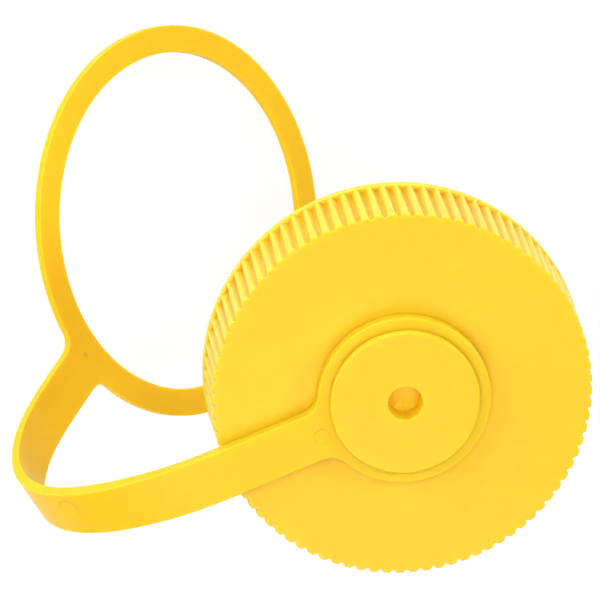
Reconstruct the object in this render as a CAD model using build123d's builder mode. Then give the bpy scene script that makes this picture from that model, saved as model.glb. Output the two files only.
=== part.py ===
from build123d import *
import os
from math import radians, tan

# Driving dimensions in millimetres.
# The frame: +Z is the cap's axis, out of its face; the origin is the centre of the skirt's mouth plane;
# the tether's strap leaves the button along -X.

# Skirt and face plate
skirt_height = 17.3
rim_radius = 34.7
rim_band_height = 1.6
rim_chamfer = 0.4
bore_radius = 31.6
plate_thickness = 2.0
inner_corner_chamfer = 0.6

# Ribs round the skirt; the draft takes their crests down, so they are wider and lower near the face
rib_count = 88
rib_crest_radius = 34.6
rib_depth = 1.0
rib_crest_width = 0.35
rib_root_width = 2.1
rib_draft = 1.5
rib_top_chamfer = 0.3

# Screw thread inside the skirt
thread_pitch = 4.2
thread_turns = 1.5
thread_start = 3.0
thread_depth = 1.2
thread_crest_width = 0.8
thread_foot_width = 2.2
thread_root_overlap = 0.3

# Moulded seal ring under the face plate
seal_radius = 27.5
seal_wall = 1.0
seal_height = 2.2

# Button that the tether swivels on
neck_radius = 12.4
head_radius = 13.5
head_thickness = 1.25
head_rim_radius = 0.7
hole_radius = 3.1
hole_depth = 4.8
hole_lip_chamfer = 0.25

# Tether: eyelet round the button's neck
eyelet_thickness = 2.5
eyelet_width = 2.9
swivel_clearance = 0.3
face_clearance = 0.2
head_clearance = 0.3
eyelet_fillet = 4.0

# Tether: strap, measured along its middle line from the button's axis
strap_width = 9.0
strap_end_width = 9.6
flat_length = 19.0
bend_length = 89.0
strap_spans = 26
steps_in_span = 4
# The bent stretch thins from the eyelet's thickness to the ring's between these shares of its length
thinning_start = 0.45
thinning_end = 0.75
# Turn at evenly spaced stations along the bent stretch, in degrees for each millimetre of strap:
# backwards, away from the face's side, and then sideways about the strap's own line
bend_rates = (0.0, -0.1, 1.6, 1.0, 1.8, 3.4, 2.45, 2.0, 0.0)
twist_rates = (0.0, 0.0, -0.3, -0.55, -0.4, -0.25, -0.2, -0.05, 0.0)

# Tether: ring that goes round the bottle's neck
ring_bore_radius = 32.2
ring_width = 5.15
ring_thickness = 1.5
ring_joint_length = 6.6
ring_fillet = 3.0

# Sizes that follow
rib_root_radius = rib_crest_radius - rib_depth
plate_underside = skirt_height - plate_thickness
neck_height = face_clearance + eyelet_thickness + head_clearance
head_underside = skirt_height + neck_height
head_top = head_underside + head_thickness
eyelet_bore_radius = neck_radius + swivel_clearance
eyelet_outer_radius = eyelet_bore_radius + eyelet_width
eyelet_underside = skirt_height + face_clearance
eyelet_middle = eyelet_underside + eyelet_thickness / 2
ring_outer_radius = ring_bore_radius + ring_width

os.makedirs("parts", exist_ok=True)


def half_section(points):
    """Closed face in the XZ plane from (radius, height) points."""
    with BuildSketch(Plane.XZ) as section:
        with BuildLine():
            Polyline(*points, close=True)
        make_face()
    return section.sketch


def circles_near(part, radius, height):
    """The part's circular edges of one radius at one height."""
    return part.edges().filter_by(GeomType.CIRCLE).filter_by(
        lambda edge: abs(edge.radius - radius) < 1e-3 and abs(edge.center().Z - height) < 1e-3)


# Screw thread: one trapezoid ridge swept along a helix on the bore's wall
with BuildPart() as thread:
    with BuildLine() as thread_path:
        Helix(thread_pitch, thread_pitch * thread_turns, bore_radius, center=(0, 0, thread_start))
    with BuildSketch(Plane(origin=thread_path.line @ 0, x_dir=(1, 0, 0), z_dir=(0, 1, 0))):
        with BuildLine():
            Polyline(
                (thread_root_overlap, -thread_foot_width / 2),
                (thread_root_overlap, thread_foot_width / 2),
                (0, thread_foot_width / 2),
                (-thread_depth, thread_crest_width / 2),
                (-thread_depth, -thread_crest_width / 2),
                (0, -thread_foot_width / 2),
                close=True,
            )
        make_face()
    sweep(path=thread_path.line, is_frenet=True)

# Cap
crest_run = skirt_height - rib_top_chamfer - rim_band_height
crest_top_radius = rib_crest_radius - crest_run * tan(radians(rib_draft))
with BuildPart() as cap:
    # Ribs: one toothed outline raised to the face, trimmed to the drafted crest and its top chamfer
    with BuildSketch(Plane.XY.offset(rim_band_height)):
        Circle(rib_root_radius)
        with PolarLocations(rib_root_radius, rib_count):
            Polygon(
                (-rib_depth, -rib_root_width / 2),
                (0, -rib_root_width / 2),
                (rib_depth, -rib_crest_width / 2),
                (rib_depth, rib_crest_width / 2),
                (0, rib_root_width / 2),
                (-rib_depth, rib_root_width / 2),
                align=None,
            )
    extrude(amount=skirt_height - rim_band_height)
    envelope = half_section([
        (0, rim_band_height),
        (rib_crest_radius, rim_band_height),
        (crest_top_radius, skirt_height - rib_top_chamfer),
        (crest_top_radius - rib_top_chamfer, skirt_height),
        (0, skirt_height),
    ])
    revolve(envelope, axis=Axis.Z, mode=Mode.INTERSECT)

    # Smooth rim band below the ribs
    band = half_section([
        (0, 0),
        (rim_radius - rim_chamfer, 0),
        (rim_radius, rim_chamfer),
        (rim_radius, rim_band_height),
        (0, rim_band_height),
    ])
    revolve(band, axis=Axis.Z)

    # Hollow under the face plate
    with BuildSketch():
        Circle(bore_radius)
    extrude(amount=plate_underside, mode=Mode.SUBTRACT)
    chamfer(circles_near(cap, bore_radius, plate_underside), inner_corner_chamfer)

    # Seal ring that plugs the bottle's mouth
    with BuildSketch(Plane.XY.offset(plate_underside)):
        Circle(seal_radius)
        Circle(seal_radius - seal_wall, mode=Mode.SUBTRACT)
    extrude(amount=-seal_height)

    # Button: neck, head with a rounded rim, and blind hole
    with BuildSketch(Plane.XY.offset(skirt_height)):
        Circle(neck_radius)
    extrude(amount=neck_height)
    with BuildSketch(Plane.XY.offset(head_underside)):
        Circle(head_radius)
    extrude(amount=head_thickness)
    fillet(circles_near(cap, head_radius, head_top), head_rim_radius)
    with Locations((0, 0, head_top)):
        Hole(hole_radius, depth=hole_depth)
    chamfer(circles_near(cap, hole_radius, head_top), hole_lip_chamfer)

    add(thread.part)
cap.part.label = "cap"
export_step(cap.part, "parts/cap.step")


def rate_at(rates, share):
    """Straight-line value between evenly spaced stations, at a share of the whole length."""
    place = share * (len(rates) - 1)
    station = min(int(place), len(rates) - 2)
    return rates[station] + (rates[station + 1] - rates[station]) * (place - station)


def strap_planes():
    """Planes across the strap at the ends of its spans: X over its width, Z along it."""
    along = Vector(-1, 0, 0)
    across = Vector(0, 1, 0)
    place = Vector(-flat_length, 0, eyelet_middle)
    planes = [Plane(origin=place, x_dir=across, z_dir=along)]
    steps = steps_in_span * strap_spans
    step = bend_length / steps
    for count in range(steps):
        share = (count + 0.5) / steps
        bend = Axis((0, 0, 0), across)
        turned = along.rotate(bend, -rate_at(bend_rates, share) * step)
        place = place + (along + turned) * (step / 2)
        along = turned
        across = across.rotate(Axis((0, 0, 0), along), rate_at(twist_rates, share) * step)
        if (count + 1) % steps_in_span == 0:
            planes.append(Plane(origin=place, x_dir=across, z_dir=along))
    return planes


# Tether
planes = strap_planes()
with BuildPart() as tether:
    # Eyelet and the flat start of the strap
    with BuildSketch(Plane.XY.offset(eyelet_underside)) as eyelet:
        Circle(eyelet_outer_radius)
        with Locations((-flat_length / 2, 0)):
            Rectangle(flat_length, strap_width)
        corners = eyelet.vertices().filter_by(
            lambda corner: abs((corner.X ** 2 + corner.Y ** 2) ** 0.5 - eyelet_outer_radius) < 1e-3
            and abs(abs(corner.Y) - strap_width / 2) < 1e-3)
        fillet(corners, eyelet_fillet)
        Circle(eyelet_bore_radius, mode=Mode.SUBTRACT)
    extrude(amount=eyelet_thickness)

    # Bent and twisted stretch of the strap
    for number, plane in enumerate(planes):
        share = number / strap_spans
        width = strap_width + (strap_end_width - strap_width) * share
        thinned = min(max((share - thinning_start) / (thinning_end - thinning_start), 0), 1)
        thickness = eyelet_thickness + (ring_thickness - eyelet_thickness) * thinned
        with BuildSketch(plane):
            Rectangle(width, thickness)
    loft()

    # Ring, in the plane that the strap ends in
    end = planes[-1]
    to_centre = ring_joint_length + ring_outer_radius
    ring_plane = Plane(origin=end.origin, x_dir=end.z_dir, z_dir=end.x_dir.cross(end.z_dir))
    with BuildSketch(ring_plane) as ring:
        with Locations((to_centre, 0)):
            Circle(ring_outer_radius)
        with Locations((to_centre / 2, 0)):
            Rectangle(to_centre, strap_end_width)
        corners = ring.vertices().filter_by(
            lambda corner: 1e-3 < ring_plane.to_local_coords(corner).X < to_centre / 2)
        fillet(corners, ring_fillet)
        with Locations((to_centre, 0)):
            Circle(ring_bore_radius, mode=Mode.SUBTRACT)
    extrude(amount=ring_thickness / 2, both=True)
tether.part.label = "tether"
export_step(tether.part, "parts/tether.step")
ring_centre = end.origin + end.z_dir * to_centre
print("ring centre", ring_centre, "ring axis", ring_plane.z_dir)
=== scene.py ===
# %% [markdown]
# # A loop-top bottle cap
# The object is a wide-mouth screw cap and the tether that keeps it on its bottle. Both are injection
# mouldings in one bright yellow plastic. The cap is round, so most of it can be turned like a pot from
# one outline. Its ribs repeat 88 times, so one rib is made and copied. The tether is moulded flat and
# bends when it is put on, so it is modelled flat and then bent in the same way.

# %% Load the frame
import math

import bpy
from mathutils import Matrix, Vector


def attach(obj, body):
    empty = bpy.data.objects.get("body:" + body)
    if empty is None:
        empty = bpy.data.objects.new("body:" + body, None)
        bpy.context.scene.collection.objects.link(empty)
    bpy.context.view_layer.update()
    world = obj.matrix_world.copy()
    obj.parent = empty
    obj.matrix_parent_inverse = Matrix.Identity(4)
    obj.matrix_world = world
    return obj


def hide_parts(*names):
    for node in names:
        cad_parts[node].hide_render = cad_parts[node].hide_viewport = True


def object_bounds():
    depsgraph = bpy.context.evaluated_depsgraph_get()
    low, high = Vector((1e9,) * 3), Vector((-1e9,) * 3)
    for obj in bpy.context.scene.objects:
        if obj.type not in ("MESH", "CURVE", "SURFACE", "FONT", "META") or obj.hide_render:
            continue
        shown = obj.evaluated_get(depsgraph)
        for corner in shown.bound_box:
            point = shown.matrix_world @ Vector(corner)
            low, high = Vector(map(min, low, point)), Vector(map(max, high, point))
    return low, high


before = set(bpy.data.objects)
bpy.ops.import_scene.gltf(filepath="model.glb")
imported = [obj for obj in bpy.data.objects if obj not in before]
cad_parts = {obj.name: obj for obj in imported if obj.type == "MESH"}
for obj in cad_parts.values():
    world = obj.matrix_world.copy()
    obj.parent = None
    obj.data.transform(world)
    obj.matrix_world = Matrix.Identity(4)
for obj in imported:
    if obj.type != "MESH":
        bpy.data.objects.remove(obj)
cad_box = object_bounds()
mm = 0.001

# %% [markdown]
# ## The camera
# The photograph looks down on the cap's face from far away, with the strap towards the lower left.
# A long lens keeps the face nearly round. The camera's place is given as on a globe round the point it
# looks at: azimuth and elevation, and then a roll about its own axis.

# %% Camera
aim_point = Vector((-10.47, 21.69, 10.11)) * mm
camera_distance = 893.8 * mm
camera_azimuth = math.radians(173.46)
camera_elevation = math.radians(70.56)
camera_roll = math.radians(163.63)
focal_length = 300
sensor_width = 36
farthest_seen = 10

looking = Vector((
    -math.sin(camera_azimuth) * math.cos(camera_elevation),
    math.cos(camera_azimuth) * math.cos(camera_elevation),
    -math.sin(camera_elevation),
))
level_right = looking.cross(Vector((0, 0, 1))).normalized()
level_up = level_right.cross(looking)
camera_right = level_right * math.cos(camera_roll) + level_up * math.sin(camera_roll)
camera_up = level_up * math.cos(camera_roll) - level_right * math.sin(camera_roll)
camera_data = bpy.data.cameras.new("camera")
camera_data.lens = focal_length
camera_data.sensor_width = sensor_width
camera_data.clip_end = farthest_seen
camera = bpy.data.objects.new("camera", camera_data)
bpy.context.scene.collection.objects.link(camera)
camera_turn = Matrix((camera_right, camera_up, -looking)).transposed().to_4x4()
camera.matrix_world = Matrix.Translation(aim_point - looking * camera_distance) @ camera_turn
bpy.context.scene.camera = camera
print("camera at", [round(x, 3) for x in camera.matrix_world.translation])

# %% [markdown]
# ## Small helpers
# Every outline on this object is a few corners, each rounded by its own radius, because a mould has no
# sharp edges. One function turns such corners into points, always as many for the same corners, so
# that outlines of slightly different shape can be joined point to point.

# %% Rounded outlines
arc_steps = 4
# A rounded corner takes at most this share of each edge beside it
most_of_edge = 0.48


def rounded(corners, steps=arc_steps):
    """Points of an open outline from (x, y, radius) corners. A radius that doesn't fit is made smaller."""
    points = [Vector(corners[0][:2])]
    for before, corner, after in zip(corners, corners[1:], corners[2:]):
        here = Vector(corner[:2])
        to_before = Vector(before[:2]) - here
        to_after = Vector(after[:2]) - here
        half_angle = to_before.angle(to_after) / 2
        fits = min(to_before.length, to_after.length) * most_of_edge
        reach = min(corner[2] / math.tan(half_angle), fits)
        radius = reach * math.tan(half_angle)
        start = here + to_before.normalized() * reach
        end = here + to_after.normalized() * reach
        middle = here + (to_before.normalized() + to_after.normalized()).normalized() * (
            radius / math.sin(half_angle))
        sweep = math.pi - 2 * half_angle
        for step in range(steps + 1):
            share = step / steps
            part = (math.sin((1 - share) * sweep) * (start - middle)
                    + math.sin(share * sweep) * (end - middle)) / math.sin(sweep)
            points.append(middle + part)
    points.append(Vector(corners[-1][:2]))
    return points


def make_mesh(name, vertices, faces):
    """A new object from vertices and faces."""
    mesh = bpy.data.meshes.new(name)
    mesh.from_pydata([tuple(v) for v in vertices], [], faces)
    mesh.validate()
    thing = bpy.data.objects.new(name, mesh)
    bpy.context.scene.collection.objects.link(thing)
    return thing


def finished(thing, name):
    """A plain mesh of thing with its modifiers applied, in a new object. The old one is removed."""
    bpy.context.view_layer.update()
    depsgraph = bpy.context.evaluated_depsgraph_get()
    mesh = bpy.data.meshes.new_from_object(thing.evaluated_get(depsgraph))
    mesh.name = name
    done = bpy.data.objects.new(name, mesh)
    bpy.context.scene.collection.objects.link(done)
    bpy.data.objects.remove(thing)
    triangles = sum(len(polygon.vertices) - 2 for polygon in mesh.polygons)
    print(name, "has", len(mesh.vertices), "vertices and", triangles, "triangles")
    return done


# %% [markdown]
# ## The plastic
# The moulding is glossy but not polished: the mould's fine texture spreads each highlight a little.
# Light also goes some way into the plastic and comes out warmer, so hollows and thin walls look
# orange. Principled's subsurface scattering does that. A node group holds what both mouldings share:
# faint clouds in the colour, a fine grain in the surface and slow waves where the plastic has shrunk.
# A second group is a round mask. It draws the marks that the mould's pins and gates leave, as bumps,
# because they are far too shallow to need a mesh.

# %% Helpers for nodes
def linked(tree, kind, place, inputs=(), **settings):
    """A new node with its settings, whose inputs are values or other nodes' outputs."""
    node = tree.nodes.new(kind)
    node.location = place
    for key, value in settings.items():
        setattr(node, key, value)
    for key, value in dict(inputs).items():
        if isinstance(value, bpy.types.NodeSocket):
            tree.links.new(value, node.inputs[key])
        else:
            node.inputs[key].default_value = value
    return node


def add_sockets(tree, in_out, kind, *names):
    """Named sockets of one kind on a node group."""
    for name in names:
        tree.interface.new_socket(name, in_out=in_out, socket_type=kind)


def calculated(tree, operation, place, *values):
    """Output of a Math node on values or other nodes' outputs."""
    return linked(tree, "ShaderNodeMath", place, enumerate(values), operation=operation).outputs[0]


def smooth_mask(tree, place, value, none, full):
    """Output that climbs smoothly from 0, where value is none, to 1, where it is full."""
    return linked(tree, "ShaderNodeMapRange", place, {"Value": value, "From Min": none, "From Max": full},
                  interpolation_type="SMOOTHSTEP").outputs["Result"]


# %% Node group for moulded plastic
middle_of_noise = 0.5
roughness_change = 0.12


def moulded_plastic_group():
    """Colour, roughness and normal of moulded plastic, on object coordinates."""
    tree = bpy.data.node_groups.new("moulded_plastic", "ShaderNodeTree")
    add_sockets(tree, "INPUT", "NodeSocketColor", "Color", "Cloud Color")
    add_sockets(tree, "INPUT", "NodeSocketFloat", "Cloud Scale", "Cloud Strength", "Roughness",
                "Grain Scale", "Grain Depth", "Wave Depth")
    add_sockets(tree, "OUTPUT", "NodeSocketColor", "Color")
    add_sockets(tree, "OUTPUT", "NodeSocketFloat", "Roughness")
    add_sockets(tree, "OUTPUT", "NodeSocketVector", "Normal")
    given = linked(tree, "NodeGroupInput", (-900, 0)).outputs
    where = linked(tree, "ShaderNodeTexCoord", (-900, -300)).outputs["Object"]
    clouds = linked(tree, "ShaderNodeTexNoise", (-600, 200),
                    {"Vector": where, "Scale": given["Cloud Scale"], "Detail": 3})
    amount = calculated(tree, "MULTIPLY", (-400, 200), clouds.outputs["Fac"], given["Cloud Strength"])
    colour = linked(tree, "ShaderNodeMix", (-200, 200),
                    {0: amount, 6: given["Color"], 7: given["Cloud Color"]}, data_type="RGBA")
    grain = linked(tree, "ShaderNodeTexNoise", (-600, -100),
                   {"Vector": where, "Scale": given["Grain Scale"], "Detail": 2})
    off_middle = calculated(tree, "SUBTRACT", (-400, 0), clouds.outputs["Fac"], middle_of_noise)
    uneven = calculated(tree, "MULTIPLY_ADD", (-300, 0), off_middle, roughness_change, given["Roughness"])
    waves = linked(tree, "ShaderNodeTexNoise", (-600, -400),
                   {"Vector": where, "Scale": given["Cloud Scale"], "Detail": 1})
    wavy = linked(tree, "ShaderNodeBump", (-200, -300),
                  {"Height": waves.outputs["Fac"], "Distance": given["Wave Depth"], "Strength": 1})
    rough = linked(tree, "ShaderNodeBump", (0, -200),
                   {"Height": grain.outputs["Fac"], "Distance": given["Grain Depth"], "Strength": 1,
                    "Normal": wavy.outputs["Normal"]})
    linked(tree, "NodeGroupOutput", (300, 0),
           {"Color": colour.outputs[2], "Roughness": uneven, "Normal": rough.outputs["Normal"]})
    return tree


# %% Node group for round marks
def round_mark_group():
    """Mask that is 1 within a radius of a point and falls off smoothly past it."""
    tree = bpy.data.node_groups.new("round_mark", "ShaderNodeTree")
    add_sockets(tree, "INPUT", "NodeSocketVector", "Centre")
    add_sockets(tree, "INPUT", "NodeSocketFloat", "Radius", "Edge Width")
    add_sockets(tree, "OUTPUT", "NodeSocketFloat", "Mask")
    given = linked(tree, "NodeGroupInput", (-900, 0)).outputs
    where = linked(tree, "ShaderNodeTexCoord", (-900, -300)).outputs["Object"]
    away = linked(tree, "ShaderNodeVectorMath", (-600, -100), {0: where, 1: given["Centre"]},
                  operation="DISTANCE").outputs["Value"]
    outside = calculated(tree, "ADD", (-600, 100), given["Radius"], given["Edge Width"])
    linked(tree, "NodeGroupOutput", (0, 0),
           {"Mask": smooth_mask(tree, (-300, 0), away, outside, given["Radius"])})
    return tree


plastic_group = moulded_plastic_group()
mark_group = round_mark_group()

# %% The two plastics
# Each has a main yellow and the yellow of its faint clouds, and its own share of mirror-like gloss
cap_yellows = ((0.75, 0.50, 0.012, 1), (0.75, 0.46, 0.009, 1))
tether_yellows = ((0.75, 0.50, 0.017, 1), (0.75, 0.46, 0.013, 1))
cap_cloud_scale = 45
tether_cloud_scale = 60
cap_gloss = 0.25
tether_gloss = 0.12
cloud_strength = 0.5
satin_roughness = 0.33
grain_scale = 3500
grain_depth = 0.006 * mm
wave_depth = 0.12 * mm
plastic_ior = 1.49
# How much of the light goes into the plastic, how deep, and how far of that red, green and blue get
light_share = 0.8
light_depth = 3.0 * mm
light_reach = (1.0, 0.5, 0.1)

# Marks that the mould leaves, in millimetres: middle, radius, width of the edge, height
tether_marks = (
    ((-16.06, -0.39, 20.0), 1.25, 0.4, -0.16),
    ((-64.4, 1.3, 10.7), 2.1, 0.5, -0.2),
    ((-53.22, 13.6, -30.87), 0.25, 0.3, 0.3),
)
cap_marks = (((-1.6, -2.4, 16.75), 0.6, 0.7, 0.2),)


def yellow_plastic(name, yellows, cloud_scale, gloss, marks):
    """Satin yellow plastic with a little light going through it, and with the mould's round marks."""
    material = bpy.data.materials.new(name)
    material.use_nodes = True
    tree = material.node_tree
    shader = tree.nodes["Principled BSDF"]
    main_yellow, cloud_yellow = yellows
    group = linked(tree, "ShaderNodeGroup", (-300, 0), {
        "Color": main_yellow, "Cloud Color": cloud_yellow, "Cloud Scale": cloud_scale,
        "Cloud Strength": cloud_strength, "Roughness": satin_roughness, "Grain Scale": grain_scale,
        "Grain Depth": grain_depth, "Wave Depth": wave_depth}, node_tree=plastic_group)
    tree.links.new(group.outputs["Color"], shader.inputs["Base Color"])
    tree.links.new(group.outputs["Roughness"], shader.inputs["Roughness"])
    normal = group.outputs["Normal"]
    for number, (middle, radius, edge, height) in enumerate(marks):
        mark = linked(tree, "ShaderNodeGroup", (-600, -300 - 200 * number),
                      {"Centre": Vector(middle) * mm, "Radius": radius * mm, "Edge Width": edge * mm},
                      node_tree=mark_group)
        normal = linked(tree, "ShaderNodeBump", (-400, -300 - 200 * number),
                        {"Height": mark.outputs["Mask"], "Distance": height * mm, "Strength": 1,
                         "Normal": normal}).outputs["Normal"]
    tree.links.new(normal, shader.inputs["Normal"])
    shader.inputs["IOR"].default_value = plastic_ior
    shader.inputs["Specular IOR Level"].default_value = gloss
    shader.inputs["Subsurface Weight"].default_value = light_share
    shader.inputs["Subsurface Radius"].default_value = light_reach
    shader.inputs["Subsurface Scale"].default_value = light_depth
    return material


cap_plastic = yellow_plastic("cap_plastic", cap_yellows, cap_cloud_scale, cap_gloss, cap_marks)
tether_plastic = yellow_plastic(
    "tether_plastic", tether_yellows, tether_cloud_scale, tether_gloss, tether_marks)
print("materials", cap_plastic.name, tether_plastic.name)

# %% [markdown]
# ## The cap's ribbed wall
# One rib and half a groove on each side of it make a wedge of the wall, as wide as the pitch. The
# wedge is a grid: its columns stand on the rib's rounded outline, and each column is itself a rounded
# outline, from the face over the chamfered edge, down the wall, out over the rim band and round to
# the mouth. At both ends the grid narrows to a few coarse columns, on flat ground where that can't show.

# %% Sizes of the wall
skirt_height = 17.3 * mm
rim_radius = 34.7 * mm
rim_band_height = 1.6 * mm
rim_rounding = 0.35 * mm
bore_radius = 31.6 * mm
rib_count = 88
rib_crest_radius = 34.6 * mm
rib_depth = 1.0 * mm
rib_crest_width = 0.35 * mm
rib_root_width = 2.1 * mm
groove_corner_radius = 0.15 * mm
crest_corner_radius = 0.4 * mm
rib_draft = math.radians(1.5)
rib_top_chamfer = 0.3 * mm
least_chamfer = 0.12 * mm
edge_radius = 0.25 * mm
foot_radius = 0.25 * mm
face_seam_radius = 32.2 * mm
fine_face_radius = 32.8 * mm
fine_mouth_radius = 33.9 * mm
mouth_seam_radius = 33.2 * mm
coarse_columns = 2
rib_arc_steps = 3
rib_root_radius = rib_crest_radius - rib_depth
crest_drop = (skirt_height - rib_top_chamfer - rim_band_height) * math.tan(rib_draft)
pitch_angle = 2 * math.pi / rib_count

# %% One wedge of the wall
half_pitch = rib_root_radius * pitch_angle / 2


def rib_outline(drop):
    """Points (angle, height above the groove) across one rib whose crest is cut down by drop."""
    flank_run = (rib_root_width - rib_crest_width) / 2
    half_crest = rib_crest_width / 2 + flank_run * drop / rib_depth
    half_outline = rounded([
        (0, 0, 0),
        (half_pitch - rib_root_width / 2, 0, groove_corner_radius),
        (half_pitch - half_crest, rib_depth - drop, crest_corner_radius),
        (half_pitch, rib_depth - drop, 0),
    ], steps=rib_arc_steps)
    points = [(p.x / rib_root_radius, p.y) for p in half_outline]
    return points + [(pitch_angle - angle, height) for angle, height in reversed(points[:-1])]


def wall_column(foot_proud, top_proud):
    """Rounded outline of the wall, as (radius, height), from the face to the mouth."""
    foot = rib_root_radius + foot_proud
    top = rib_root_radius + top_proud
    chamfer = max(rib_top_chamfer + top_proud - rib_depth + crest_drop, least_chamfer)
    return rounded([
        (fine_face_radius, skirt_height, 0),
        (top - chamfer, skirt_height, edge_radius),
        (top, skirt_height - chamfer, edge_radius),
        (foot, rim_band_height, foot_radius),
        (rim_radius, rim_band_height, edge_radius),
        (rim_radius, 0, rim_rounding),
        (fine_mouth_radius, 0, 0),
    ])


def share_of_way(value, low, high):
    """Share of the way from low to high, kept between 0 and 1."""
    return min(max((value - low) / (high - low), 0), 1)


def ring_place(radius, angle, height):
    """Point on a circle round the cap's axis."""
    return Vector((radius * math.cos(angle), radius * math.sin(angle), height))


def fan(faces, coarse, fine):
    """Fills between a few coarse points and many fine ones beside them."""
    share = (len(fine) - 1) // (len(coarse) - 1)
    for step in range(len(coarse) - 1):
        near = fine[step * share:(step + 1) * share + 1]
        middle = len(near) // 2
        for a, b in zip(near[:middle], near[1:middle + 1]):
            faces.append((coarse[step], a, b))
        faces.append((coarse[step], near[middle], coarse[step + 1]))
        for a, b in zip(near[middle:], near[middle + 1:]):
            faces.append((coarse[step + 1], a, b))


def wedge_mesh():
    """One rib with half a groove on each side."""
    vertices = []
    faces = []
    columns = list(zip(rib_outline(0), rib_outline(crest_drop)))
    for (foot_angle, foot_proud), (top_angle, top_proud) in columns:
        for p in wall_column(foot_proud, top_proud):
            share = share_of_way(p.y, rim_band_height, skirt_height - rib_top_chamfer)
            vertices.append(ring_place(p.x, foot_angle + (top_angle - foot_angle) * share, p.y))
    tall = len(vertices) // len(columns)
    for column in range(len(columns) - 1):
        for row in range(tall - 1):
            here = column * tall + row
            faces.append((here, here + 1, here + tall + 1, here + tall))
    ends = ((face_seam_radius, skirt_height, 0), (mouth_seam_radius, 0, tall - 1))
    for radius, height, row in ends:
        first = len(vertices)
        vertices += [ring_place(radius, pitch_angle * step / coarse_columns, height)
                     for step in range(coarse_columns + 1)]
        coarse = list(range(first, first + coarse_columns + 1))
        fan(faces, coarse, [column * tall + row for column in range(len(columns))])
    return make_mesh("rib_wedge", vertices, faces)


wedge = wedge_mesh()
print("one wedge has", len(wedge.data.polygons), "faces")

# %% [markdown]
# ## The turned part of the cap
# Everything inside the wall is round: the face, the button with its blind hole, and under the plate
# the seal ring and the bore. One outline is turned round the axis. The screw thread is the only thing
# that isn't round, so the bore's rows are close together and each point moves inwards where it lies
# on the thread's ridge.

# %% Sizes of the turned part
plate_underside = 15.3 * mm
inner_corner = 0.6 * mm
mouth_edge_radius = 0.3 * mm
neck_radius = 12.4 * mm
head_underside = 20.3 * mm
head_radius = 13.5 * mm
head_top = 21.55 * mm
head_rim_radius = 0.7 * mm
hole_radius = 3.1 * mm
hole_bottom = 16.75 * mm
hole_lip_radius = 0.3 * mm
seal_radius = 27.5 * mm
seal_wall = 1.0 * mm
seal_height = 2.2 * mm
small_radius = 0.2 * mm
pole_radius = 0.05 * mm
thread_pitch = 4.2 * mm
thread_turns = 1.5
thread_start = 3.0 * mm
thread_depth = 1.2 * mm
thread_crest_width = 0.8 * mm
thread_foot_width = 2.2 * mm
thread_end_taper = math.radians(10)
thread_row = 0.15 * mm
button_arc_steps = 6
same_place = 1e-7

# %% Turn the outline
seal_foot = plate_underside - seal_height
seal_inside = seal_radius - seal_wall
upper_outline = rounded([
    (face_seam_radius, skirt_height, 0),
    (neck_radius, skirt_height, edge_radius),
    (neck_radius, head_underside, small_radius),
    (head_radius, head_underside, small_radius),
    (head_radius, head_top, head_rim_radius),
    (hole_radius, head_top, hole_lip_radius),
    (hole_radius, hole_bottom, hole_lip_radius),
    (pole_radius, hole_bottom, 0),
], steps=button_arc_steps)
bore_rows = round((plate_underside - inner_corner - mouth_edge_radius) / thread_row)
lower_outline = rounded([
    (mouth_seam_radius, 0, 0),
    (bore_radius, 0, mouth_edge_radius),
    (bore_radius, plate_underside / 2, 0),
])[:-1]
lower_outline += [
    Vector((bore_radius, mouth_edge_radius + (row + 1) * thread_row)) for row in range(bore_rows - 1)]
lower_outline += rounded([
    (bore_radius, plate_underside / 2, 0),
    (bore_radius, plate_underside, inner_corner),
    (seal_radius, plate_underside, small_radius),
    (seal_radius, seal_foot, small_radius),
    (seal_inside, seal_foot, small_radius),
    (seal_inside, plate_underside, small_radius),
    (pole_radius, plate_underside, 0),
])[1:]


def smooth_step(value, low, high):
    """0 below low, 1 above high and a smooth climb between."""
    share = share_of_way(value, low, high)
    return share * share * (3 - 2 * share)


def thread_ridge(angle, height):
    """How far the thread stands out of the bore's wall."""
    proud = 0
    for lap in range(math.ceil(thread_turns)):
        along = angle + 2 * math.pi * lap
        end = 2 * math.pi * thread_turns
        taper = smooth_step(along, 0, thread_end_taper) * smooth_step(end - along, 0, thread_end_taper)
        off = abs(height - thread_start - thread_pitch * along / (2 * math.pi))
        side = 1 - smooth_step(off, thread_crest_width / 2, thread_foot_width / 2)
        proud = max(proud, thread_depth * side * taper)
    return proud


def turned_mesh():
    """The upper and lower outlines turned round the axis, with the thread raised on the bore."""
    around = rib_count * coarse_columns
    vertices = []
    faces = []
    for outline in (upper_outline, lower_outline):
        first = len(vertices)
        tall = len(outline)
        for column in range(around):
            angle = 2 * math.pi * column / around
            for p in outline:
                on_bore = abs(p.x - bore_radius) < same_place
                inwards = thread_ridge(angle, p.y) if on_bore else 0
                vertices.append(ring_place(p.x - inwards, angle, p.y))
        for column in range(around):
            here = first + column * tall
            there = first + (column + 1) % around * tall
            for row in range(tall - 1):
                faces.append((here + row, there + row, there + row + 1, here + row + 1))
        faces.append([first + column * tall + tall - 1 for column in range(around)])
    return make_mesh("turned_cap", vertices, faces)


turned = turned_mesh()
print("the turned part has", len(upper_outline) + len(lower_outline), "rings")

# %% [markdown]
# ## Ribs by Geometry Nodes
# A tree of nodes copies the wedge round the axis and joins the copies to the turned part. The copies
# are instances at one point, each turned a pitch further. Realize Instances makes them real mesh,
# Merge by Distance welds the seams, and the tree ends by setting the material.

# %% Node tree that copies a wedge round the axis
def tree_input(tree, name, kind, value=None):
    """A named input of a geometry tree. Returns its identifier."""
    socket = tree.interface.new_socket(name, in_out="INPUT", socket_type=kind)
    if value is not None:
        socket.default_value = value
    return socket.identifier


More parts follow.
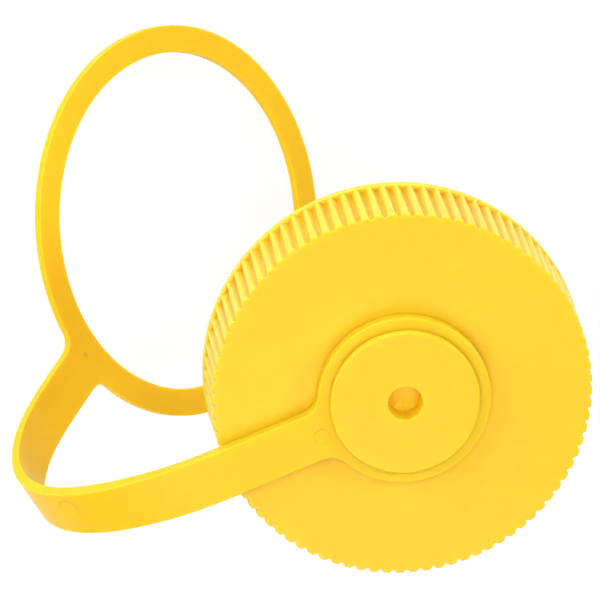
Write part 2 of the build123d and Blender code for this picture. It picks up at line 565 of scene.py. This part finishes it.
def copied_round_tree():
    """Geometry tree that copies one wedge round the Z axis and welds the copies to the object."""
    tree = bpy.data.node_groups.new("copied_round", "GeometryNodeTree")
    inputs = {"Geometry": tree_input(tree, "Geometry", "NodeSocketGeometry")}
    inputs["Wedge"] = tree_input(tree, "Wedge", "NodeSocketObject")
    inputs["Count"] = tree_input(tree, "Count", "NodeSocketInt", 8)
    inputs["Weld Distance"] = tree_input(tree, "Weld Distance", "NodeSocketFloat", 0.000002)
    inputs["Material"] = tree_input(tree, "Material", "NodeSocketMaterial")
    tree.interface.new_socket("Geometry", in_out="OUTPUT", socket_type="NodeSocketGeometry")
    given = linked(tree, "NodeGroupInput", (-900, 0)).outputs
    line = linked(tree, "GeometryNodeMeshLine", (-600, 200),
                  {"Count": given["Count"], "Offset": (0, 0, 0)})
    source = linked(tree, "GeometryNodeObjectInfo", (-600, 0), {"Object": given["Wedge"]})
    number = linked(tree, "GeometryNodeInputIndex", (-900, -200))
    pitch = calculated(tree, "DIVIDE", (-700, -300), 2 * math.pi, given["Count"])
    angle = calculated(tree, "MULTIPLY", (-600, -200), number.outputs[0], pitch)
    turned_by = linked(tree, "ShaderNodeCombineXYZ", (-450, -200), {"Z": angle})
    copies = linked(tree, "GeometryNodeInstanceOnPoints", (-300, 100),
                    {"Points": line.outputs["Mesh"], "Instance": source.outputs["Geometry"],
                     "Rotation": turned_by.outputs[0]})
    real = linked(tree, "GeometryNodeRealizeInstances", (-100, 100), {0: copies.outputs[0]})
    joined = linked(tree, "GeometryNodeJoinGeometry", (100, 0))
    tree.links.new(given["Geometry"], joined.inputs[0])
    tree.links.new(real.outputs[0], joined.inputs[0])
    welded = linked(tree, "GeometryNodeMergeByDistance", (300, 0),
                    {"Geometry": joined.outputs[0], "Distance": given["Weld Distance"]})
    smooth = linked(tree, "GeometryNodeSetShadeSmooth", (500, 0), {0: welded.outputs[0]})
    painted = linked(tree, "GeometryNodeSetMaterial", (700, 0),
                     {"Geometry": smooth.outputs[0], "Material": given["Material"]})
    linked(tree, "NodeGroupOutput", (900, 0), {0: painted.outputs[0]})
    return tree, inputs


# %% Helpers that finish both mouldings
flat_face_weight = 80


def add_tree(thing, name, tree, inputs, values):
    """Puts a geometry tree on thing, with its inputs set by their identifiers."""
    modifier = thing.modifiers.new(name, "NODES")
    modifier.node_group = tree
    for key, value in values.items():
        modifier[inputs[key]] = value


def even_normals(thing):
    """Keeps flat faces flat beside their rounded edges."""
    modifier = thing.modifiers.new("even_normals", "WEIGHTED_NORMAL")
    modifier.mode = "FACE_AREA"
    modifier.weight = flat_face_weight


# %% Make the cap
seam_gap = 0.002 * mm
round_tree, round_inputs = copied_round_tree()
add_tree(turned, "ribs", round_tree, round_inputs,
         {"Wedge": wedge, "Count": rib_count, "Weld Distance": seam_gap, "Material": cap_plastic})
even_normals(turned)
cap = finished(turned, "cap_shell")
bpy.data.objects.remove(wedge)

# %% [markdown]
# ## Painted light and shade on the cap
# Masks mix painted light and shade into the cap's colour, because scattering alone doesn't show them at
# this scale: a painted highlight that makes the ribs' crests nearly lemon, painted shade that makes the
# pockets between them orange at the rim band, and painted light inside the button's hole. The ribs'
# masks measure how far a point stands out from the bottom of the grooves, as a share of a rib's height.

# %% Masks for the painted shade and highlight on the ribs
# Shares of a rib's height, from a groove's bottom, where the painted shade and highlight masks are 0 and 1
pocket_shade_shares = (0.7, 0.1)
crest_highlight_shares = (0.4, 0.95)
below_grooves = -0.3


def rib_light_and_shade_masks():
    """Masks for painted shade in the pockets at the rim band and for a painted highlight on the ribs'
    crests.
    """
    tree = bpy.data.node_groups.new("rib_depth", "ShaderNodeTree")
    add_sockets(tree, "INPUT", "NodeSocketFloat", "Groove Radius", "Crest Radius", "Crest Slope",
                "Pocket Low", "Pocket High", "Face")
    add_sockets(tree, "OUTPUT", "NodeSocketFloat", "Pocket", "Crest")
    given = linked(tree, "NodeGroupInput", (-1500, 0)).outputs
    where = linked(tree, "ShaderNodeTexCoord", (-1500, -300)).outputs["Object"]
    flat = linked(tree, "ShaderNodeVectorMath", (-1300, 0), {0: where, 1: (1, 1, 0)}, operation="MULTIPLY")
    radius = linked(tree, "ShaderNodeVectorMath", (-1150, 0), {0: flat.outputs[0]},
                    operation="LENGTH").outputs["Value"]
    height = linked(tree, "ShaderNodeSeparateXYZ", (-1300, -300), {0: where}).outputs["Z"]
    lean = calculated(tree, "MULTIPLY", (-1150, -300), height, given["Crest Slope"])
    crest_radius = calculated(tree, "SUBTRACT", (-1000, -200), given["Crest Radius"], lean)
    full = calculated(tree, "SUBTRACT", (-850, -200), crest_radius, given["Groove Radius"])
    proud = calculated(tree, "SUBTRACT", (-850, 0), radius, given["Groove Radius"])
    share = calculated(tree, "DIVIDE", (-700, -100), proud, full)
    on_ribs = calculated(tree, "GREATER_THAN", (-550, 0), share, below_grooves)
    low_down = smooth_mask(tree, (-550, 250), height, given["Pocket High"], given["Pocket Low"])
    in_groove = smooth_mask(tree, (-550, 500), share, *pocket_shade_shares)
    below_face = calculated(tree, "LESS_THAN", (-550, -250), height, given["Face"])
    on_crest = smooth_mask(tree, (-550, -500), share, *crest_highlight_shares)
    low_groove = calculated(tree, "MULTIPLY", (-400, 300), in_groove, low_down)
    pocket = calculated(tree, "MULTIPLY", (-250, 200), low_groove, on_ribs)
    crest = calculated(tree, "MULTIPLY", (-250, -200), on_crest, below_face)
    linked(tree, "NodeGroupOutput", (0, 0), {"Pocket": pocket, "Crest": crest})
    return tree


# %% Mix the painted light and shade in
# Painted shade: a darker orange mixed into the pockets between the ribs at the rim band
pocket_shade_yellow = (0.72, 0.43, 0.008, 1)
# Painted highlight: a lighter lemon yellow mixed onto the ribs' crests
crest_highlight_yellow = (0.70, 0.56, 0.035, 1)
# Painted light: a lighter yellow mixed into the button's hole
hole_light_yellow = (0.83, 0.58, 0.012, 1)
pocket_full_height = 3 * mm
pocket_none_height = 10 * mm
# The painted highlight on the crests stops this far below the face
highlight_below_face = 0.1 * mm
# The painted light in the hole reaches this far past the hole's radius, and then fades out
hole_light_margin = 0.7 * mm
hole_light_fade = 0.25 * mm


def paint_cap_light_and_shade(material):
    """Painted shade in the pockets between the ribs, a painted highlight on the crests and painted light
    in the hole.
    """
    tree = material.node_tree
    shader = tree.nodes["Principled BSDF"]
    ribs = linked(tree, "ShaderNodeGroup", (-600, 500), {
        "Groove Radius": rib_root_radius, "Crest Radius": rib_crest_radius,
        "Crest Slope": math.tan(rib_draft), "Pocket Low": pocket_full_height,
        "Pocket High": pocket_none_height, "Face": skirt_height - highlight_below_face},
        node_tree=rib_light_and_shade_masks())
    hole = linked(tree, "ShaderNodeGroup", (-600, 800), {
        "Centre": (0, 0, (hole_bottom + head_top) / 2), "Radius": hole_radius + hole_light_margin,
        "Edge Width": hole_light_fade}, node_tree=mark_group)
    colour = shader.inputs["Base Color"].links[0].from_socket
    painted_tints = ((ribs.outputs["Pocket"], pocket_shade_yellow), (ribs.outputs["Crest"], crest_highlight_yellow),
             (hole.outputs["Mask"], hole_light_yellow))
    for number, (mask, tint) in enumerate(painted_tints):
        colour = linked(tree, "ShaderNodeMix", (-400 + 150 * number, 500), {0: mask, 6: colour, 7: tint},
                        data_type="RGBA").outputs[2]
    tree.links.new(colour, shader.inputs["Base Color"])
    print(material.name, "has", len(painted_tints), "painted_tints")


paint_cap_light_and_shade(cap_plastic)

# %% [markdown]
# ## The tether, flat as it is moulded
# The tether leaves its mould flat: an eyelet, a strap and a ring. Its outline is drawn as a flat grid
# of four-sided faces. Round the eyelet and the ring the grid runs like spokes. Where the strap joins
# them the spokes end on the strap's first row, with a rounded corner on each side.

# %% Sizes of the tether
flat_length = 19.0 * mm
bend_length = 89.0 * mm
strap_width = 9.0 * mm
strap_end_width = 9.6 * mm
eyelet_bore_radius = 12.7 * mm
eyelet_outer_radius = 15.6 * mm
eyelet_fillet = 4.0 * mm
eyelet_thickness = 2.5 * mm
eyelet_middle = 18.75 * mm
ring_bore_radius = 32.2 * mm
ring_outer_radius = 37.35 * mm
ring_joint_length = 6.6 * mm
ring_fillet = 3.0 * mm
ring_thickness = 1.5 * mm
thinning_start = 0.45
thinning_end = 0.75
strap_columns = 10
corner_columns = 5
spokes_around = 130
spoke_rows = 5
strap_row_length = 0.7 * mm
tether_edge_radius = 0.35 * mm
edge_segments = 3
sharp_angle = math.radians(60)
grid_seam_gap = 0.005 * mm
ring_centre_along = flat_length + bend_length + ring_joint_length + ring_outer_radius


# %% Draw the flat grid
class FlatGrid:
    """Vertices of the flat moulding, as (distance along the strap, across), and its faces."""

    def __init__(self):
        self.vertices = []
        self.faces = []

    def rows(self, lines, closed=False):
        """Adds lines of points, joined to their neighbours by four-sided faces. Returns their numbers."""
        numbers = []
        for line in lines:
            numbers.append(list(range(len(self.vertices), len(self.vertices) + len(line))))
            self.vertices += line
        pairs = list(zip(numbers, numbers[1:]))
        if closed:
            pairs.append((numbers[-1], numbers[0]))
        for one, other in pairs:
            for step in range(len(one) - 1):
                self.faces.append((one[step], one[step + 1], other[step + 1], other[step]))
        return numbers


def spoke(start, end):
    """Points from start to end, closer together at both ends, to carry the rounded edges."""
    shares = [0.5 - 0.5 * math.cos(math.pi * step / spoke_rows) for step in range(spoke_rows + 1)]
    return [start.lerp(end, share) for share in shares]


def ring_with_joint(grid, centre, towards, inner, outer, half_width, fillet_radius):
    """A flat ring that opens into the strap on one side. Returns how far along the strap starts."""
    middle = half_width + fillet_radius
    reach = math.sqrt((outer + fillet_radius) ** 2 - middle ** 2)
    tangent = math.atan2(middle, reach)
    outline = []
    for step in range(corner_columns):
        turn = (math.pi / 2 - tangent) * step / corner_columns
        spot = math.pi + tangent + turn
        outline.append(Vector((reach + fillet_radius * math.cos(spot),
                               middle + fillet_radius * math.sin(spot))))
    for step in range(strap_columns + 1):
        outline.append(Vector((reach, half_width - 2 * half_width * step / strap_columns)))
    outline += [Vector((p.x, -p.y)) for p in reversed(outline[:corner_columns])]
    lines = []
    count = len(outline) - 1
    for step, point in enumerate(outline):
        angle = tangent - 2 * tangent * step / count
        lines.append(spoke(Vector((inner * math.cos(angle), inner * math.sin(angle))), point))
    for step in range(1, spokes_around):
        angle = -tangent - (2 * math.pi - 2 * tangent) * step / spokes_around
        direction = Vector((math.cos(angle), math.sin(angle)))
        lines.append(spoke(direction * inner, direction * outer))
    # A ring that opens the other way is a mirror image, so its lines are joined in reverse
    placed = [[Vector((centre + p.x * towards, p.y)) for p in line] for line in lines]
    grid.rows(placed[::-towards], closed=True)
    return centre + reach * towards


def flat_tether():
    """The flat moulding as one sheet, in place round the button, with the strap along -X."""
    grid = FlatGrid()
    start = ring_with_joint(grid, centre=0, towards=1, inner=eyelet_bore_radius, outer=eyelet_outer_radius,
                            half_width=strap_width / 2, fillet_radius=eyelet_fillet)
    end = ring_with_joint(grid, centre=ring_centre_along, towards=-1, inner=ring_bore_radius,
                          outer=ring_outer_radius, half_width=strap_end_width / 2,
                          fillet_radius=ring_fillet)
    rows = round((end - start) / strap_row_length)
    lines = []
    for row in range(rows + 1):
        along = start + (end - start) * row / rows
        widen = share_of_way(along - flat_length, 0, bend_length)
        half = (strap_width + (strap_end_width - strap_width) * widen) / 2
        lines.append([Vector((along, half - 2 * half * step / strap_columns))
                      for step in range(strap_columns + 1)])
    grid.rows(lines)
    vertices = [(-p.x, p.y, eyelet_middle) for p in grid.vertices]
    return make_mesh("flat_tether", vertices, grid.faces)


flat = flat_tether()
print("the flat grid has", len(flat.data.polygons), "faces")

# %% [markdown]
# ## Thickness and rounded edges
# Solidify gives the sheet its thickness, less towards the ring, and Bevel rounds its edges. The
# strap's thickness is a vertex group, because it changes along the strap.

# %% Thicken the sheet
def local_thickness(along):
    """Thickness of the strap at a distance along it."""
    share = (along - flat_length) / bend_length
    thinned = share_of_way(share, thinning_start, thinning_end)
    return eyelet_thickness + (ring_thickness - eyelet_thickness) * thinned


weld = flat.modifiers.new("weld", "WELD")
weld.merge_threshold = grid_seam_gap
flat.vertex_groups.new(name="thickness")
for vertex in flat.data.vertices:
    flat.vertex_groups["thickness"].add([vertex.index], local_thickness(-vertex.co.x) / eyelet_thickness,
                                        "REPLACE")
solidify = flat.modifiers.new("thickness", "SOLIDIFY")
solidify.thickness = eyelet_thickness
solidify.offset = 0
solidify.vertex_group = "thickness"
bevel = flat.modifiers.new("edges", "BEVEL")
bevel.width = tether_edge_radius
bevel.segments = edge_segments
bevel.limit_method = "ANGLE"
bevel.angle_limit = sharp_angle

# %% [markdown]
# ## Bend the strap
# The strap turns back under the cap and twists a little on its way. Its path is worked out in small
# steps: at each one the strap turns by so many degrees for each millimetre. The path is a line of
# edges that carries two vectors, along the strap and across it. A node tree reads them at each point's
# distance along the strap, and puts the point where the bent strap is.

# %% The strap's path
bend_rates = (0.0, -0.1, 1.6, 1.0, 1.8, 3.4, 2.45, 2.0, 0.0)
twist_rates = (0.0, 0.0, -0.3, -0.55, -0.4, -0.25, -0.2, -0.05, 0.0)
path_steps = 890


def rate_at(rates, share):
    """Straight-line value between evenly spaced stations, at a share of the whole length."""
    place = share * (len(rates) - 1)
    station = min(int(place), len(rates) - 2)
    return rates[station] + (rates[station + 1] - rates[station]) * (place - station)


def strap_path():
    """Line of edges along the strap's middle, with its directions along and across at each point."""
    along = Vector((-1, 0, 0))
    across = Vector((0, 1, 0))
    place = Vector((-flat_length, 0, eyelet_middle))
    places, alongs, acrosses = [place], [along], [across]
    step = bend_length / path_steps
    for count in range(path_steps):
        share = (count + 0.5) / path_steps
        bend = math.radians(-rate_at(bend_rates, share) * step / mm)
        twist = math.radians(rate_at(twist_rates, share) * step / mm)
        turned = Matrix.Rotation(bend, 3, across) @ along
        place = place + (along + turned) * (step / 2)
        along = turned
        across = Matrix.Rotation(twist, 3, along) @ across
        places.append(place)
        alongs.append(along)
        acrosses.append(across)
    mesh = bpy.data.meshes.new("strap_path")
    mesh.from_pydata(places, [(n, n + 1) for n in range(path_steps)], [])
    for name, vectors in (("along", alongs), ("across", acrosses)):
        values = mesh.attributes.new(name, "FLOAT_VECTOR", "POINT")
        values.data.foreach_set("vector", [x for vector in vectors for x in vector])
    path = bpy.data.objects.new("strap_path", mesh)
    bpy.context.scene.collection.objects.link(path)
    return path


path = strap_path()
print("the strap's bend ends at", [round(x / mm, 1) for x in path.data.vertices[-1].co], "mm")


# %% Node tree that bends a flat moulding along a path
def bent_along_tree():
    """Geometry tree that bends a flat moulding, which lies along -X, along a path object."""
    tree = bpy.data.node_groups.new("bent_along", "GeometryNodeTree")
    inputs = {"Geometry": tree_input(tree, "Geometry", "NodeSocketGeometry")}
    inputs["Path"] = tree_input(tree, "Path", "NodeSocketObject")
    inputs["Flat Length"] = tree_input(tree, "Flat Length", "NodeSocketFloat")
    inputs["Bend Length"] = tree_input(tree, "Bend Length", "NodeSocketFloat")
    inputs["Middle Height"] = tree_input(tree, "Middle Height", "NodeSocketFloat")
    inputs["Material"] = tree_input(tree, "Material", "NodeSocketMaterial")
    tree.interface.new_socket("Geometry", in_out="OUTPUT", socket_type="NodeSocketGeometry")
    given = linked(tree, "NodeGroupInput", (-1500, 0)).outputs
    here = linked(tree, "GeometryNodeInputPosition", (-1500, -200))
    parts = linked(tree, "ShaderNodeSeparateXYZ", (-1300, -200), {0: here.outputs[0]})

    along_strap = calculated(tree, "MULTIPLY", (-1200, -100), parts.outputs["X"], -1.0)
    past_flat = calculated(tree, "SUBTRACT", (-1100, -100), along_strap, given["Flat Length"])
    past_start = calculated(tree, "MAXIMUM", (-1000, -100), past_flat, 0.0)
    on_path = calculated(tree, "MINIMUM", (-900, -100), past_start, given["Bend Length"])
    beyond = calculated(tree, "SUBTRACT", (-800, -200), past_flat, on_path)
    height = calculated(tree, "SUBTRACT", (-1100, -300), parts.outputs["Z"], given["Middle Height"])
    source = linked(tree, "GeometryNodeObjectInfo", (-1300, 300), {"Object": given["Path"]})
    curve = linked(tree, "GeometryNodeMeshToCurve", (-1100, 300), {"Mesh": source.outputs["Geometry"]})
    read = {}
    for name, y in (("along", 300), ("across", 100)):
        wanted = linked(tree, "GeometryNodeInputNamedAttribute", (-1000, y), {"Name": name},
                        data_type="FLOAT_VECTOR")
        read[name] = linked(tree, "GeometryNodeSampleCurve", (-700, y), data_type="FLOAT_VECTOR",
                            mode="LENGTH", use_all_curves=False)
        tree.links.new(curve.outputs[0], read[name].inputs["Curves"])
        tree.links.new(on_path, read[name].inputs["Length"])
        for socket in read[name].inputs:
            if socket.name == "Value" and socket.enabled:
                tree.links.new(wanted.outputs["Attribute"], socket)
    along = next(s for s in read["along"].outputs if s.name == "Value" and s.enabled)
    across = next(s for s in read["across"].outputs if s.name == "Value" and s.enabled)
    normal = linked(tree, "ShaderNodeVectorMath", (-400, 0), {0: across, 1: along},
                    operation="CROSS_PRODUCT").outputs[0]
    moved = read["along"].outputs["Position"]
    for direction, amount, x in ((along, beyond, -300), (across, parts.outputs["Y"], -100),
                                 (normal, height, 100)):
        scaled = linked(tree, "ShaderNodeVectorMath", (x, -200), {0: direction, "Scale": amount},
                        operation="SCALE").outputs[0]
        moved = linked(tree, "ShaderNodeVectorMath", (x + 100, 0), {0: moved, 1: scaled},
                       operation="ADD").outputs[0]
    placed = linked(tree, "GeometryNodeSetPosition", (400, 0),
                    {"Geometry": given["Geometry"], "Position": moved})
    smooth = linked(tree, "GeometryNodeSetShadeSmooth", (600, 0), {0: placed.outputs[0]})
    real = linked(tree, "GeometryNodeRealizeInstances", (750, 0), {0: smooth.outputs[0]})
    painted = linked(tree, "GeometryNodeSetMaterial", (900, 0),
                     {"Geometry": real.outputs[0], "Material": given["Material"]})
    linked(tree, "NodeGroupOutput", (1100, 0), {0: painted.outputs[0]})
    return tree, inputs


# %% Make the tether
bent_tree, bent_inputs = bent_along_tree()
add_tree(flat, "bend", bent_tree, bent_inputs,
         {"Path": path, "Flat Length": flat_length, "Bend Length": bend_length,
          "Middle Height": eyelet_middle, "Material": tether_plastic})
even_normals(flat)
tether = finished(flat, "tether_moulding")
bpy.data.objects.remove(path)

# %% [markdown]
# ## Riding on the bodies
# Each visible moulding stands for its solid and moves with its body, so the tether swivels on the
# button when the joint turns.

# %% Attach the pieces
for piece, node, slot in ((cap, "cap", "cap_plastic"), (tether, "tether", "tether_plastic")):
    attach(piece, node)
    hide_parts(node)

# %% [markdown]
# ## Floor and light
# The photograph has a plain white ground. The floor lies just under the ring's lowest point. What the
# camera sees of it is nearly all a white glow, through Light Path, and the rest is a plain diffuse
# floor that keeps the object's soft shadow. The light is broad and soft, from six square lamps round
# the cap and a weak even light from all sides. Each lamp's place is given in the camera's own right, up
# and back, and its power was set until each side of the object was as bright as in the photograph.

# %% Floor
floor_gap = 0.5 * mm
floor_size = 6.0
floor_white = (0.9, 0.9, 0.9, 1)
glow_share = 0.86


def glow_material():
    """Diffuse floor that the camera, reflections and clear parts see as nearly white."""
    material = bpy.data.materials.new("floor_white")
    material.use_nodes = True
    tree = material.node_tree
    tree.nodes.clear()
    ray = linked(tree, "ShaderNodeLightPath", (-600, 200)).outputs
    seen = calculated(tree, "MAXIMUM", (-400, 200), ray["Is Camera Ray"], ray["Is Glossy Ray"])
    seen = calculated(tree, "MAXIMUM", (-300, 200), seen, ray["Is Transmission Ray"])
    share = calculated(tree, "MULTIPLY", (-200, 200), seen, glow_share)
    matt = linked(tree, "ShaderNodeBsdfDiffuse", (-200, 0), {"Color": floor_white})
    glow = linked(tree, "ShaderNodeEmission", (-200, -150), {"Color": (1, 1, 1, 1), "Strength": 1})
    both = linked(tree, "ShaderNodeMixShader", (0, 0),
                  {0: share, 1: matt.outputs[0], 2: glow.outputs[0]})
    linked(tree, "ShaderNodeOutputMaterial", (200, 0), {"Surface": both.outputs[0]})
    return material


floor_height = cad_box[0][2] - floor_gap
floor_corners = [(x * floor_size / 2, y * floor_size / 2, floor_height)
                 for x, y in ((-1, -1), (1, -1), (1, 1), (-1, 1))]
floor = make_mesh("floor", floor_corners, [(0, 1, 2, 3)])
floor.data.materials.append(glow_material())
print("floor at", round(floor_height / mm, 1), "mm")


# %% Lamps
lamp_distance = 1.2
# Direction to the right, up and back, then the lamp's size in metres and its power in watts
lamps = {
    "front_lamp": (0, 0, 1, 0.8, 10.3),
    "left_lamp": (-1, 0.2, 0.7, 0.8, 8.3),
    "low_lamp": (0, -1, 0.7, 0.8, 7.3),
    "top_lamp": (0, 1.2, 0.5, 0.8, 4.0),
    "grazing_lamp": (0.1, 1, 0.15, 0.5, 11.5),
    "right_lamp": (1, 0.2, 0.6, 0.3, 5.2),
}
even_light = 0.112


def soft_lamp(name, right, up, back, size, power):
    """Square lamp that looks at the cap from a direction given in the camera's own right, up and back."""
    direction = (camera_right * right + camera_up * up - looking * back).normalized()
    data = bpy.data.lights.new(name, "AREA")
    data.shape = "SQUARE"
    data.size = size
    data.energy = power
    lamp = bpy.data.objects.new(name, data)
    bpy.context.scene.collection.objects.link(lamp)
    aimed = (-direction).to_track_quat("-Z", "Y").to_matrix().to_4x4()
    lamp.matrix_world = Matrix.Translation(direction * lamp_distance) @ aimed


for lamp_name, values in lamps.items():
    soft_lamp(lamp_name, *values)
world = bpy.data.worlds.new("studio")
world.use_nodes = True
background = world.node_tree.nodes["Background"]
background.inputs["Color"].default_value = (1, 1, 1, 1)
background.inputs["Strength"].default_value = even_light
bpy.context.scene.world = world
bpy.context.scene.view_settings.view_transform = "Standard"
print("lamps", list(lamps))
